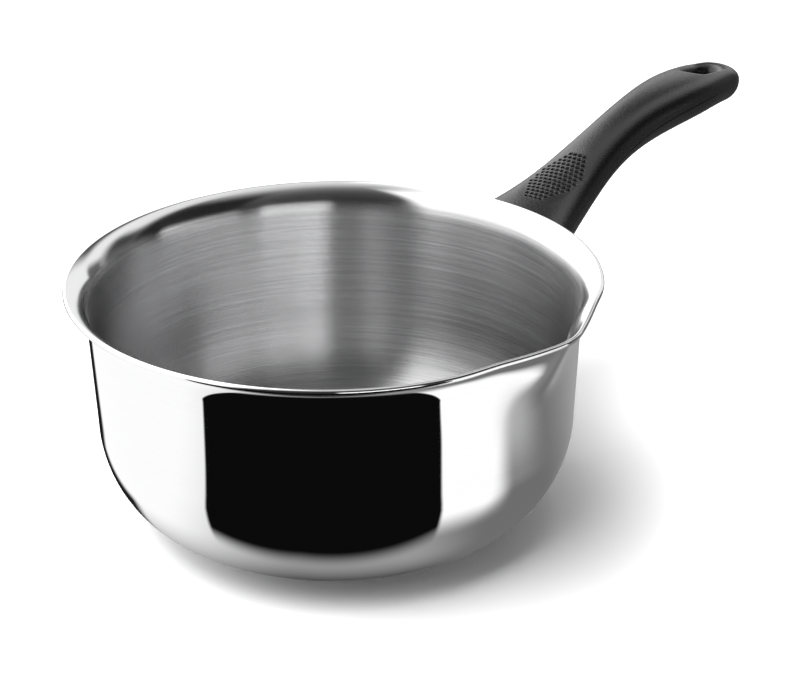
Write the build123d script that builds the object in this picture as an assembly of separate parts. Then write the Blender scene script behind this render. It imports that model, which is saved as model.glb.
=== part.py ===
from build123d import *
import math
import os

# Milk pan: spun stainless bowl with a flared, rolled lip and one pouring spout,
# an encapsulated heat base, and a black two-shell handle bolted to a welded bracket.
# Frame: origin on the bowl's axis at the resting plane, +Z up, +X along the handle,
# the spout points to -Y. Millimetres.

# ---- driving dimensions -------------------------------------------------------
WALL = 0.8            # bowl sheet
R_TOP = 80.75         # outer radius of the wall just under the flare
Z_TOP = 76.0          # height that R_TOP is taken at
DRAFT = 0.05          # radius lost per mm of height going down the wall
Z_FLOOR = 4.0         # underside of the bowl's flat bottom
COR_R = 31.8          # bottom corner, horizontal half axis
COR_Z = 36.3          # bottom corner, vertical half axis
COR_BASE = 2.0        # height that the corner ellipse would reach
FLARE_Z = 75.0        # height where the flare starts
FLARE_R = 10.5        # radius of the flare, outer face
FLARE_DEG = 65.0      # turn of the flare
BEAD_R = 0.95         # radius of the rolled edge
SP_RAMP0 = 60.0       # height where the spout's channel leaves the wall
SP_LEAN = 0.46        # how far the channel leans out per mm of height
SP_TOP = 84.6         # height of the spout's lip
SP_BACK = 70.0        # centre of the channel's ovals, from the axis
SP_B0, SP_B1 = 3.2, 19.8   # half width of those ovals at the foot and at the lip

CAP_R = 53.0          # base capsule, largest radius
CAP_EDGE = 3.4        # base capsule, edge radius
CAP_T = 0.5           # base capsule sheet

# handle centreline (x along the handle, height), half width, height above and below the seam
HX = [70, 84, 100, 120, 140, 160, 185, 210, 235, 260, 274.7]
HZ = [60.6, 61.0, 61.9, 64.6, 68.8, 74.2, 79.6, 82.3, 82.7, 80.2, 76.9]
HW = [(70, 29.0), (84, 26.8), (100, 23.4), (120, 18.3), (145, 13.2), (170, 10.7), (200, 11.6), (230, 13.5), (260, 10.3), (276, 8.2)]
HU = [(70, 9.3), (100, 9.2), (130, 8.9), (165, 8.5), (200, 8.7), (240, 7.9), (276, 6.2)]
HL = [(70, 13.4), (95, 11.6), (130, 8.6), (165, 6.5), (200, 8.2), (240, 9.2), (276, 7.9)]
H_TIP = 274.7         # end of the handle
H_TIPLEN = 16.0       # length over which the end rounds off
H_WALL = 2.6          # moulding wall
H_GAP = 0.35          # clearance between the handle's end and the bowl
CAV_END = 226.0       # end of the hollow inside the handle
SLOT_X = 246.0        # hanging slot
SLOT_L = 19.0
SLOT_W = 8.0
PAD_X = 139.5         # thumb pad
PAD_L = 34.0
PAD_W = 15.0
PAD_D = 0.35

BR_T = 1.5            # weld flange
BR_Z0, BR_Z1 = 52.5, 66.5
BR_HALF = 10.5        # half angle of the flange
TG_T = 2.0            # tongue
TG_F = TG_T / 2 + 0.06 # where the bosses meet the slightly curved tongue
BR_SEAT = 0.03        # weld gap between flange and bowl
BOLT_X1 = 98.0
BOLT_X2 = 132.0
SCREW_X = [178.0, 216.0]


# ---- small helpers --------------------------------------------------------------
def natural_spline(xs, ys):
    n = len(xs)
    h = [xs[i + 1] - xs[i] for i in range(n - 1)]
    a = [0.0] * n; b = [1.0] * n; c = [0.0] * n; d = [0.0] * n
    for i in range(1, n - 1):
        a[i] = h[i - 1]; b[i] = 2 * (h[i - 1] + h[i]); c[i] = h[i]
        d[i] = 6 * ((ys[i + 1] - ys[i]) / h[i] - (ys[i] - ys[i - 1]) / h[i - 1])
    for i in range(1, n):
        m = a[i] / b[i - 1]
        b[i] -= m * c[i - 1]; d[i] -= m * d[i - 1]
    m2 = [0.0] * n
    m2[-1] = d[-1] / b[-1]
    for i in range(n - 2, -1, -1):
        m2[i] = (d[i] - c[i] * m2[i + 1]) / b[i]

    def f(x):
        i = 0
        while i < n - 2 and x > xs[i + 1]:
            i += 1
        t = x - xs[i]; u = xs[i + 1] - x; hi = h[i]
        return (m2[i] * u ** 3 + m2[i + 1] * t ** 3) / (6 * hi) + (ys[i] / hi - m2[i] * hi / 6) * u + (ys[i + 1] / hi - m2[i + 1] * hi / 6) * t
    return f


hz = natural_spline(HX, HZ)
hw = natural_spline([p[0] for p in HW], [p[1] for p in HW])
hu = natural_spline([p[0] for p in HU], [p[1] for p in HU])
hl = natural_spline([p[0] for p in HL], [p[1] for p in HL])


def slope(x):
    return math.atan2(hz(x + 0.05) - hz(x - 0.05), 0.1)


# ---- bowl -----------------------------------------------------------------------
def wall_r(z):
    return R_TOP - DRAFT * (Z_TOP - z)


def corner_points(d):
    """The bottom corner's profile at depth d inside the outer face, from the flat bottom up to the wall."""
    cz = COR_BASE + COR_Z
    rc = wall_r(cz) - COR_R
    phi0 = math.radians(25.0)
    r1 = rc + COR_R * math.sin(phi0)
    z1 = cz - COR_Z * math.cos(phi0)
    sl = math.atan2(COR_Z * math.sin(phi0), COR_R * math.cos(phi0))
    rad = (z1 - Z_FLOOR) / (1 - math.cos(sl))
    r0 = r1 - rad * math.sin(sl)
    pts = []
    for k in range(3):
        a = sl * k / 3.0
        pts.append((r0 + rad * math.sin(a) - d * math.sin(a), Z_FLOOR + rad * (1 - math.cos(a)) + d * math.cos(a)))
    for k in range(9):
        p = phi0 + (math.pi / 2 - phi0) * k / 9.0
        tx, tz = COR_R * math.cos(p), COR_Z * math.sin(p)
        l = math.hypot(tx, tz)
        pts.append((rc + COR_R * math.sin(p) - d * tz / l, cz - COR_Z * math.cos(p) + d * tx / l))
    pts.append((wall_r(cz) - d, cz))
    return [(r, 0, z) for r, z in pts]


PSI0 = math.atan(DRAFT)
FLARE_CR = wall_r(FLARE_Z) + FLARE_R * math.cos(PSI0)     # centre of the flare's arcs
FLARE_CZ = FLARE_Z - FLARE_R * math.sin(PSI0)


def flare_point(deg, d):
    """Point of the flare at a turn of deg from upright, at depth d inside the outer face."""
    a = math.radians(deg)
    k = FLARE_R + d
    return (FLARE_CR - k * math.cos(a), 0, FLARE_CZ + k * math.sin(a))


def skin(d, last):
    """Profile edges at depth d from the flat bottom to the flare's end at a turn of last degrees."""
    c = corner_points(d)
    w0 = math.degrees(PSI0)
    top = flare_point(w0, d)
    return c, top, [
        Line((0, 0, c[0][2]), c[0]),
    ] + [ThreePointArc(c[k], c[k + 1], c[k + 2]) for k in range(0, len(c) - 2, 2)] + [
        Line(c[-1], top),
        ThreePointArc(top, flare_point((w0 + last) / 2, d), flare_point(last, d)),
    ]


def wall_section():
    """Closed half section of the plain bowl, with the rolled edge."""
    end = FLARE_DEG
    k = FLARE_R + WALL
    join_deg = end - math.degrees(BEAD_R / k)              # where the hem leaves the sheet's underside
    _, _, outer = skin(0.0, join_deg)
    _, _, inner = skin(WALL, end)
    a = math.radians(end)
    tr, tz = math.sin(a), math.cos(a)
    nr, nz = -tz, tr                      # square to the sheet, towards the inside
    lip = flare_point(end, WALL)
    cr, cz = lip[0] - nr * BEAD_R, lip[2] - nz * BEAD_R

    def on(deg):
        b = math.radians(deg)
        return (cr + BEAD_R * (tr * math.cos(b) + nr * math.sin(b)), 0, cz + BEAD_R * (tz * math.cos(b) + nz * math.sin(b)))
    join = flare_point(join_deg, 0.0)
    edges = outer + [
        ThreePointArc(join, on(-135), on(-90)),
        ThreePointArc(on(-90), on(0), lip),
    ] + inner[::-1] + [Line((0, 0, Z_FLOOR + WALL), (0, 0, Z_FLOOR))]
    return Wire(edges)


def inside_of_sheet():
    """Everything within the middle of the sheet, from the flat bottom to over the lip."""
    d = WALL / 2
    _, _, mid = skin(d, FLARE_DEG - 6)
    p = flare_point(FLARE_DEG - 6, d)
    a = math.radians(FLARE_DEG - 6)
    far = (p[0] + 12 * math.sin(a), 0, p[2] + 12 * math.cos(a))
    return revolve(Face(Wire(mid + [
        Line(p, far),
        Line(far, (0, 0, far[2])),
        Line((0, 0, far[2]), (0, 0, Z_FLOOR + d)),
    ])), Axis.Z, 360)


def beak(inset, z_top):
    """The spout's channel as a leaning stack of ovals, pointing to SP_AZ."""
    secs = []
    for z in (54.0, 60.0, 66.0, 72.0, 78.0, z_top):
        tip = wall_r(SP_RAMP0) + SP_LEAN * (z - SP_RAMP0) - inset / math.cos(math.atan(SP_LEAN))
        a = tip - SP_BACK
        u = (z - 54.0) / (SP_TOP - 54.0)
        b = SP_B0 + (SP_B1 - SP_B0) * (0.55 * u + 0.45 * u * u) - inset
        secs.append(Location((0, -SP_BACK, z)) * Ellipse(b, a))
    return loft([s.face() for s in secs])


def build_bowl():
    plain = revolve(Face(wall_section()), Axis.Z, 360)
    out = beak(0.0, SP_TOP)
    void = beak(WALL, SP_TOP + 8.0)
    return (plain - void) + (out - void - inside_of_sheet())


# ---- base -----------------------------------------------------------------------
def edge_profile(r, z0, z1, rad):
    """Closed half section of a disc whose lower edge is rounded."""
    return Wire([
        Line((0, 0, z0), (r - rad, 0, z0)),
        ThreePointArc((r - rad, 0, z0), (r - rad + rad * math.sqrt(0.5), 0, z0 + rad - rad * math.sqrt(0.5)), (r, 0, z0 + rad)),
        Line((r, 0, z0 + rad), (r, 0, z1)),
        Line((r, 0, z1), (0, 0, z1)),
        Line((0, 0, z1), (0, 0, z0)),
    ])


def build_base():
    disc = revolve(Face(edge_profile(CAP_R - CAP_T, CAP_T, Z_FLOOR, CAP_EDGE - CAP_T)), Axis.Z, 360)
    cap = revolve(Face(edge_profile(CAP_R, 0.0, Z_FLOOR, CAP_EDGE)), Axis.Z, 360)
    return disc, cap - disc


# ---- handle ---------------------------------------------------------------------
def tip_factor(x):
    t = (x - (H_TIP - H_TIPLEN)) / H_TIPLEN
    return 1.0 if t <= 0 else math.sqrt(max(0.0, 1 - t * t))


def ring_at(x, inset=0.0, n=36):
    """Closed section of the handle, square to its centreline, grown or shrunk by inset."""
    g = tip_factor(x)
    w = hw(x) * g - inset
    u = hu(x) * g - inset
    l = hl(x) * g - inset
    sl = slope(x)
    pts = []
    for k in range(n):
        a = 2 * math.pi * k / n + 1.9
        c, s = math.cos(a), math.sin(a)
        y = w * math.copysign(abs(c) ** 0.9, c)
        h = (u if s > 0 else l) * math.copysign(abs(s) ** 0.9, s)
        pts.append((x - h * math.sin(sl), y, hz(x) + h * math.cos(sl)))
    return Face(Wire([Spline(*pts, periodic=True)]))


def wall_cone(extra, z0=30.0, z1=90.0):
    """Solid cone that carries the bowl's outer wall line, grown by extra."""
    return revolve(Face(Wire(Polyline((0, 0, z0), (wall_r(z0) + extra, 0, z0), (wall_r(z1) + extra, 0, z1), (0, 0, z1), (0, 0, z0)).edges())), Axis.Z, 360)


def seam_region(above, x0=40.0, x1=300.0, step=5.0):
    """Everything above or below the parting surface, which follows the centreline."""
    xs = [x0 + step * k for k in range(int((x1 - x0) / step) + 1)]
    pts = [(x, -60.0, hz(x)) for x in xs]
    z_far = 160.0 if above else -60.0
    w = Wire([Spline(*pts), Line(pts[-1], (x1, -60.0, z_far)), Line((x1, -60.0, z_far), (x0, -60.0, z_far)), Line((x0, -60.0, z_far), pts[0])])
    return extrude(Face(w), amount=120, dir=(0, 1, 0))


def at(x, up=0.0):
    """Local frame on the centreline: Z square to it, X along it."""
    sl = slope(x)
    return Location(Plane(origin=(x - up * math.sin(sl), 0, hz(x) + up * math.cos(sl)), x_dir=(math.cos(sl), 0, math.sin(sl)), z_dir=(-math.sin(sl), 0, math.cos(sl))))


def along(x, z0, z1, r, r2=None):
    """Round bar square to the centreline at x, from height z0 to z1."""
    body = Cylinder(r, z1 - z0) if r2 is None else Cone(r, r2, z1 - z0)
    return at(x) * Location((0, 0, (z0 + z1) / 2)) * body


def slot_bar(l, w, z0, z1):
    return at(SLOT_X) * Location((0, 0, z0)) * extrude(SlotOverall(l, w), amount=z1 - z0)


def slot_mouth(l, w, z0, z1, grow):
    """Flared mouth of the slot between heights z0 and z1."""
    a = at(SLOT_X) * Location((0, 0, z0)) * SlotOverall(l, w)
    b = at(SLOT_X) * Location((0, 0, z1)) * SlotOverall(l + 2 * grow, w + 2 * grow)
    return loft([a.face(), b.face()])


def build_handle():
    xs = [64, 76, 88, 100, 112, 125, 140, 155, 170, 185, 200, 215, 230, 245, H_TIP - H_TIPLEN]
    tip = [H_TIP - H_TIPLEN + H_TIPLEN * math.sin(math.radians(a)) for a in (20, 38, 53, 66, 76, 83)]
    outer = loft([ring_at(x) for x in xs + tip])
    cav_x = [60, 74, 88, 102, 118, 134, 150, 166, 182, 198, 212, CAV_END]
    cavity = loft([ring_at(x, H_WALL) for x in cav_x])
    cut = wall_cone(H_GAP)
    above = seam_region(True)
    below = seam_region(False)

    # upper shell: hollow, with bosses for the inserts and the closing screws
    up = outer & above
    solid_up = up - cut
    up = up - cavity - cut
    for x in (BOLT_X1, BOLT_X2):
        up = up + (along(x, TG_F, 14.0, 5.2) & solid_up)
    for x in SCREW_X:
        up = up + (along(x, 0.0, 14.0, 3.6) & solid_up)
    for x in (BOLT_X1, BOLT_X2):
        up = up - along(x, TG_F - 1, TG_F + INS_L, INS_R)
    for x in SCREW_X:
        up = up - along(x, -1.0, 6.0, 1.25)
    # lower shell: hollow, with counterbored seats for both sorts of screw
    lo = outer & below
    solid_lo = lo - cut
    lo = lo - cavity - cut
    for x, h, rb in ((BOLT_X1, SEAT1, 7.0), (BOLT_X2, SEAT2, 7.0)):
        lo = lo + (along(x, -14.0, -TG_F, rb) & solid_lo)
        lo = lo - along(x, -20.0, h, 5.0) - along(x, -20.0, 2.0, 2.75)
    for x in SCREW_X:
        lo = lo + (along(x, -14.0, 0.0, 4.6) & solid_lo)
        lo = lo - along(x, -20.0, SEAT3, 3.1) - along(x, -20.0, 1.0, 1.6)
    # the slot
    lo = lo - slot_bar(SLOT_L, SLOT_W, -20, 1) - slot_mouth(SLOT_L, SLOT_W, -hl(SLOT_X) + 2.2, -hl(SLOT_X) - 0.6, 2.6)
    up = up - slot_bar(SLOT_L, SLOT_W, -1, 20) - slot_mouth(SLOT_L, SLOT_W, hu(SLOT_X) - 2.4, hu(SLOT_X) + 0.5, 2.9)
    # thumb pad: a shallow oval recess in the top
    pad = at(PAD_X) * Location((0, 0, hu(PAD_X) - PAD_D)) * extrude(Ellipse(PAD_L / 2, PAD_W / 2), amount=5)
    up = up - pad
    return up, lo, cavity, outer


INS_R, INS_L = 3.5, 6.2                   # brass insert
SEAT1, SEAT2, SEAT3 = -5.6, -4.0, -3.0     # heights of the screw seats, from the centreline


def build_fasteners():
    bolts, washers, inserts, screws = [], [], [], []
    for x, seat in ((BOLT_X1, SEAT1), (BOLT_X2, SEAT2)):
        wt = 1.2
        head0 = seat - wt - 2.6
        shank = along(x, seat - wt, TG_T / 2 + 5.4, 2.5)
        head = along(x, head0, seat - wt, 4.2)
        sock = at(x) * Location((0, 0, head0 - 0.1)) * extrude(RegularPolygon(1.5, 6), amount=1.9)
        bolts.append(fillet(head.edges().filter_by(GeomType.CIRCLE).sort_by(Axis.Z)[0], 0.8) + shank - sock)
        w = along(x, seat - wt, seat, 4.4) - along(x, seat - wt - 1, seat + 1, 2.6)
        gap = at(x) * Location((3.5, 0, seat - wt / 2)) * Rotation(0, 0, 20) * Box(3.0, 0.6, 3.0)
        washers.append(w - gap)
        ins = along(x, TG_F, TG_F + INS_L, INS_R) - along(x, TG_F - 1, TG_F + INS_L + 1, 2.5)
        groove = along(x, TG_F + 2.6, TG_F + 3.6, INS_R + 1) - along(x, TG_F + 2.5, TG_F + 3.7, INS_R - 0.5)
        inserts.append(ins - groove)
    for x in SCREW_X:
        head = along(x, SEAT3 - 1.9, SEAT3, 2.8)
        shank = along(x, SEAT3, 4.6, 1.25) + along(x, 4.6, 5.8, 1.25, 0.4)
        rec = at(x) * Location((0, 0, SEAT3 - 1.9)) * (Box(3.2, 0.7, 2.0) + Box(0.7, 3.2, 2.0))
        screws.append(fillet(head.edges().filter_by(GeomType.CIRCLE).sort_by(Axis.Z)[0], 0.6) + shank - rec)
    return bolts, washers, inserts, screws


# ---- bracket ---------------------------------------------------------------------
def build_bracket():
    i0, i1 = wall_r(BR_Z0) + BR_SEAT, wall_r(BR_Z1) + BR_SEAT
    prof = Wire(Polyline((i0, 0, BR_Z0), (i0 + BR_T, 0, BR_Z0), (i1 + BR_T, 0, BR_Z1), (i1, 0, BR_Z1), (i0, 0, BR_Z0)).edges())
    flange = revolve(Face(prof).rotate(Axis.Z, -BR_HALF), Axis.Z, 2 * BR_HALF)
    corner = [e for e in flange.edges() if abs(e.length - BR_T) < 0.05]
    flange = fillet(corner, 4.0)
    # tongue follows the parting line
    xs = [wall_r(61) + 0.7, 92, 100, 108, 116, 124, 132, 140, 148]
    top = [(x, 0, hz(x) + TG_T / 2) for x in xs]
    bot = [(x, 0, hz(x) - TG_T / 2) for x in reversed(xs)]
    side = Wire([Spline(*top), Line(top[-1], bot[0]), Spline(*bot), Line(bot[-1], top[0])])
    tongue = extrude(Face(side), amount=9.0, both=True, dir=(0, 1, 0))
    plan = Location((0, 0, 30)) * extrude(Face(Wire(Polyline((70, -9, 0), (118, -9, 0), (141, -7, 0), (148, -3.5, 0), (148, 3.5, 0), (141, 7, 0), (118, 9, 0), (70, 9, 0), (70, -9, 0)).edges())), amount=80)
    tongue = tongue & plan
    br = flange + tongue
    for x in (BOLT_X1, BOLT_X2):
        br = br - along(x, -6, 6, 2.75)
    return br


def main():
    os.makedirs("parts", exist_ok=True)
    bowl = build_bowl()
    disc, cap = build_base()
    bracket = build_bracket()
    up, lo, cavity, outer = build_handle()
    bolts, washers, inserts, screws = build_fasteners()
    nodes = {
        "pan_body": [bowl],
        "heat_disc": [disc],
        "base_capsule": [cap],
        "handle_bracket": [bracket],
        "handle_upper_shell": [up],
        "handle_lower_shell": [lo],
        "handle_bolts": bolts,
        "spring_washers": washers,
        "threaded_inserts": inserts,
        "shell_screws": screws,
    }
    for name, shapes in nodes.items():
        sol = [s for sh in shapes for s in sh.solids()]
        vol = sum(s.volume for s in sol)
        boxes = [s.bounding_box() for s in sol]
        lo_c = [min(getattr(b.min, k) for b in boxes) for k in "XYZ"]
        hi_c = [max(getattr(b.max, k) for b in boxes) for k in "XYZ"]
        print(name, len(sol), all(s.is_valid for s in sol), round(vol, 1), [round(v, 2) for v in lo_c + hi_c])
        export_step(sol[0] if len(sol) == 1 else Compound(children=sol), "parts/%s.step" % name)


if __name__ == "__main__":
    main()
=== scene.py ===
import math
import bpy
import bmesh
from mathutils import Matrix, Vector


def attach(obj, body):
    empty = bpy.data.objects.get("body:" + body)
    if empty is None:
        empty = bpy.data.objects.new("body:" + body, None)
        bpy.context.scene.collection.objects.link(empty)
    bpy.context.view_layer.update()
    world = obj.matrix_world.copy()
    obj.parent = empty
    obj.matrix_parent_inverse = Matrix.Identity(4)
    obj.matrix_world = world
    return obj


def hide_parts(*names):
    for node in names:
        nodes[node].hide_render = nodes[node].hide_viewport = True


# Milk pan: mirror-polished bowl with a satin inside, flared rolled lip, one pouring spout,
# and a black two-shell handle with a hanging slot and a dimpled thumb pad.
# Frame: metres, origin on the bowl's axis at the resting plane, +Z up, +X along the handle,
# the spout points to -Y. The numbers below are in millimetres.

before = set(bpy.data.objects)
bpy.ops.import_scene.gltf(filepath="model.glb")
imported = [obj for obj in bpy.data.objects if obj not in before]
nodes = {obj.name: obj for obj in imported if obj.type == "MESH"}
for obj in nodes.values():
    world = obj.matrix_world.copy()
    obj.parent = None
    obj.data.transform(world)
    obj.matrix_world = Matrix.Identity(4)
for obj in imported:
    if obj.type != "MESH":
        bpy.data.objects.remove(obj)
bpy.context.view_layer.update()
MM = 0.001

# ---- camera ----------------------------------------------------------------------
cam_data = bpy.data.cameras.new("camera")
cam_data.lens = 108.0
cam_data.sensor_width = 36.0
cam_data.clip_start = 0.01
cam_data.clip_end = 50.0
cam = bpy.data.objects.new("camera", cam_data)
bpy.context.scene.collection.objects.link(cam)
C_POS = Vector((-0.57510, -0.43337, 0.38714))
C_RIGHT = Vector((0.574914, -0.818173, -0.008157))
C_UP = Vector((0.342947, 0.231908, 0.910278))
C_BACK = Vector((-0.742873, -0.526129, 0.413917))
m = Matrix.Identity(4)
for i in range(3):
    m[i][0], m[i][1], m[i][2], m[i][3] = C_RIGHT[i], C_UP[i], C_BACK[i], C_POS[i]
cam.matrix_world = m
bpy.context.scene.camera = cam


# ---- material helpers --------------------------------------------------------------
class Mat:
    """A small helper that builds a node tree round one Principled shader."""

    def __init__(self, name):
        self.m = bpy.data.materials.new(name)
        self.m.use_nodes = True
        self.t = self.m.node_tree
        self.p = next(n for n in self.t.nodes if n.type == "BSDF_PRINCIPLED")
        self.x = -300

    def node(self, kind, **values):
        n = self.t.nodes.new(kind)
        n.location = (self.x, 0)
        self.x -= 60
        for k, v in values.items():
            if hasattr(n, k) and not isinstance(getattr(n, k), bpy.types.bpy_prop_collection):
                setattr(n, k, v)
        return n

    def link(self, a, b):
        self.t.links.new(a, b)

    def set(self, **values):
        for k, v in values.items():
            self.p.inputs[k.replace("_", " ")].default_value = v

    def coords(self):
        n = self.node("ShaderNodeTexCoord")
        return n.outputs["Object"]

    def math(self, op, a, b=None, c=None, clamp=False):
        n = self.node("ShaderNodeMath", operation=op, use_clamp=clamp)
        for i, v in enumerate((a, b, c)):
            if v is None:
                continue
            if isinstance(v, (int, float)):
                n.inputs[i].default_value = v
            else:
                self.link(v, n.inputs[i])
        return n.outputs[0]

    def ramp(self, fac, stops):
        n = self.node("ShaderNodeValToRGB")
        e = n.color_ramp.elements
        while len(e) < len(stops):
            e.new(0.5)
        for el, (pos, col) in zip(e, stops):
            el.position = pos
            el.color = (col, col, col, 1) if isinstance(col, (int, float)) else tuple(col) + (1,)
        self.link(fac, n.inputs[0])
        return n.outputs[0]

    def remap(self, v, a, b, c, d, smooth=True):
        n = self.node("ShaderNodeMapRange")
        if smooth:
            n.interpolation_type = "SMOOTHSTEP"
        n.inputs["From Min"].default_value = a
        n.inputs["From Max"].default_value = b
        n.inputs["To Min"].default_value = c
        n.inputs["To Max"].default_value = d
        self.link(v, n.inputs["Value"])
        return n.outputs["Result"]

    def noise(self, vec, scale, detail=2.0, rough=0.5):
        n = self.node("ShaderNodeTexNoise")
        n.inputs["Scale"].default_value = scale
        n.inputs["Detail"].default_value = detail
        n.inputs["Roughness"].default_value = rough
        if vec is not None:
            self.link(vec, n.inputs["Vector"])
        return n.outputs["Fac"]

    def bump(self, height, strength, distance, normal=None):
        n = self.node("ShaderNodeBump")
        n.inputs["Strength"].default_value = strength
        n.inputs["Distance"].default_value = distance
        self.link(height, n.inputs["Height"])
        if normal is not None:
            self.link(normal, n.inputs["Normal"])
        return n.outputs["Normal"]

    def turned_coords(self, around, along):
        """Coordinates that stretch a noise into rings round the Z axis: angle, radius and height, scaled."""
        xyz = self.node("ShaderNodeSeparateXYZ")
        self.link(self.coords(), xyz.inputs[0])
        x, y, z = xyz.outputs[0], xyz.outputs[1], xyz.outputs[2]
        ang = self.math("ARCTAN2", y, x)
        rad = self.math("SQRT", self.math("ADD", self.math("MULTIPLY", x, x), self.math("MULTIPLY", y, y)))
        c = self.node("ShaderNodeCombineXYZ")
        self.link(self.math("MULTIPLY", self.math("COSINE", ang), around), c.inputs[0])
        self.link(self.math("MULTIPLY", self.math("SINE", ang), around), c.inputs[1])
        self.link(self.math("MULTIPLY", self.math("ADD", rad, z), along), c.inputs[2])
        return c.outputs[0], x, y, z, rad


# ---- steel materials ------------------------------------------------------------------
def mirror_material():
    k = Mat("steel_mirror")
    vec, x, y, z, rad = k.turned_coords(0.35, 900.0)
    lines = k.noise(vec, 1.0, 4.0, 0.6)
    big = k.noise(k.coords(), 18.0, 2.0, 0.5)
    k.set(Metallic=1.0)
    tint = k.ramp(lines, [(0.0, (0.905, 0.905, 0.91)), (1.0, (0.945, 0.945, 0.95))])
    k.link(tint, k.p.inputs["Base Color"])
    k.link(k.remap(lines, 0.3, 0.75, 0.018, 0.04, False), k.p.inputs["Roughness"])
    nrm = k.bump(lines, 0.05, 0.00003)
    nrm = k.bump(big, 0.05, 0.002, nrm)
    k.link(nrm, k.p.inputs["Normal"])
    return k.m


def inside_material():
    k = Mat("steel_satin_inside")
    vec, x, y, z, rad = k.turned_coords(1.3, 1500.0)
    fine = k.noise(vec, 1.0, 3.0, 0.6)
    vec2, _, _, _, _ = k.turned_coords(2.2, 190.0)
    broad = k.noise(vec2, 1.0, 3.0, 0.6)
    # the flare above the wall is polished, the wall and floor are satin
    satin = k.remap(z, 0.0780, 0.0806, 1.0, 0.0)
    rough = k.math("MULTIPLY_ADD", fine, 0.07, 0.105)
    rough = k.math("MULTIPLY_ADD", broad, 0.025, rough)
    mix = k.math("MULTIPLY", rough, satin)
    k.link(k.math("ADD", mix, 0.10), k.p.inputs["Roughness"])
    col = k.ramp(fine, [(0.30, (0.64, 0.64, 0.645)), (0.70, (0.80, 0.80, 0.805))])
    lipc = k.node("ShaderNodeMix", data_type="RGBA")
    k.link(satin, lipc.inputs[0])
    lipc.inputs[6].default_value = (0.93, 0.93, 0.935, 1)
    k.link(col, lipc.inputs[7])
    k.link(lipc.outputs[2], k.p.inputs["Base Color"])
    k.set(Metallic=1.0, Anisotropic=1.0, Anisotropic_Rotation=0.25)
    tan = k.node("ShaderNodeTangent", direction_type="RADIAL", axis="Z")
    k.link(tan.outputs[0], k.p.inputs["Tangent"])
    h = k.math("MULTIPLY", fine, satin)
    nrm = k.bump(h, 0.6, 0.00007)
    k.link(nrm, k.p.inputs["Normal"])
    return k.m


def turned_steel(name, tint, rough, scale):
    k = Mat(name)
    vec, x, y, z, rad = k.turned_coords(0.6, scale)
    fine = k.noise(vec, 1.0, 4.0, 0.6)
    lo = tuple(c * 0.88 for c in tint)
    k.link(k.ramp(fine, [(0.25, lo), (0.75, tint)]), k.p.inputs["Base Color"])
    k.link(k.remap(fine, 0.2, 0.8, rough, rough + 0.16, False), k.p.inputs["Roughness"])
    k.set(Metallic=1.0, Anisotropic=0.5, Anisotropic_Rotation=0.25)
    tan = k.node("ShaderNodeTangent", direction_type="RADIAL", axis="Z")
    k.link(tan.outputs[0], k.p.inputs["Tangent"])
    k.link(k.bump(fine, 0.25, 0.00005), k.p.inputs["Normal"])
    return k.m


def pressed_metal(name, tint, rough, scale, metal=1.0):
    k = Mat(name)
    c = k.coords()
    cloud = k.noise(c, scale, 3.0, 0.55)
    grain = k.noise(c, scale * 14, 2.0, 0.5)
    lo = tuple(v * 0.85 for v in tint)
    k.link(k.ramp(cloud, [(0.3, lo), (0.7, tint)]), k.p.inputs["Base Color"])
    k.link(k.remap(cloud, 0.3, 0.7, rough, rough + 0.12), k.p.inputs["Roughness"])
    k.set(Metallic=metal)
    k.link(k.bump(grain, 0.15, 0.00004), k.p.inputs["Normal"])
    return k.m


# ---- black plastic --------------------------------------------------------------------
def plastic_material():
    k = Mat("handle_plastic")
    c = k.coords()
    grain = k.noise(c, 2600.0, 2.0, 0.6)
    cells = k.node("ShaderNodeTexVoronoi")
    cells.inputs["Scale"].default_value = 1500.0
    k.link(c, cells.inputs["Vector"])
    cloud = k.noise(c, 60.0, 3.0, 0.5)
    k.link(k.ramp(cloud, [(0.3, (0.0012, 0.0012, 0.0013)), (0.75, (0.0022, 0.0022, 0.0023))]), k.p.inputs["Base Color"])
    k.link(k.remap(grain, 0.25, 0.75, 0.21, 0.34), k.p.inputs["Roughness"])
    k.set(Metallic=0.0, IOR=1.5, Specular_IOR_Level=0.8)
    h = k.math("MULTIPLY_ADD", cells.outputs["Distance"], 0.6, grain)
    k.link(k.bump(h, 0.5, 0.00009), k.p.inputs["Normal"])
    return k.m


MIRROR = mirror_material()
INSIDE = inside_material()
BASE = turned_steel("steel_base", (0.72, 0.72, 0.725), 0.24, 800.0)
BRACKET = pressed_metal("steel_bracket", (0.66, 0.66, 0.67), 0.30, 220.0)
DISC = pressed_metal("aluminium_disc", (0.74, 0.75, 0.76), 0.42, 160.0)
FASTENER = pressed_metal("steel_fastener", (0.60, 0.60, 0.61), 0.28, 500.0)
BRASS = pressed_metal("brass_insert", (0.72, 0.56, 0.28), 0.30, 400.0)
PLASTIC = plastic_material()


# ---- mesh helpers ---------------------------------------------------------------------
def new_object(name, verts, faces, mats, face_mats=None, smooth=True):
    me = bpy.data.meshes.new(name)
    me.from_pydata([tuple(c * MM for c in v) for v in verts], [], faces)
    for mt in mats:
        me.materials.append(mt)
    if face_mats:
        me.polygons.foreach_set("material_index", face_mats)
    me.polygons.foreach_set("use_smooth", [smooth] * len(me.polygons))
    me.update()
    o = bpy.data.objects.new(name, me)
    bpy.context.scene.collection.objects.link(o)
    return o


# ---- bowl -----------------------------------------------------------------------------
WALL, R_TOP, Z_TOP, DRAFT, Z_FLOOR = 0.8, 80.75, 76.0, 0.05, 4.0
COR_R, COR_Z, COR_BASE = 31.8, 36.3, 2.0
FLARE_Z, FLARE_R, FLARE_DEG, BEAD_R = 74.45, 10.9, 65.0, 0.95
SP_Z, SP_HALF, SP_AZ, SP_RAMP0, SP_OUT, SP_W, PINCH = 50.0, 40.0, -90.0, 58.0, 9.15, 6.5, 0.6


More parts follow.
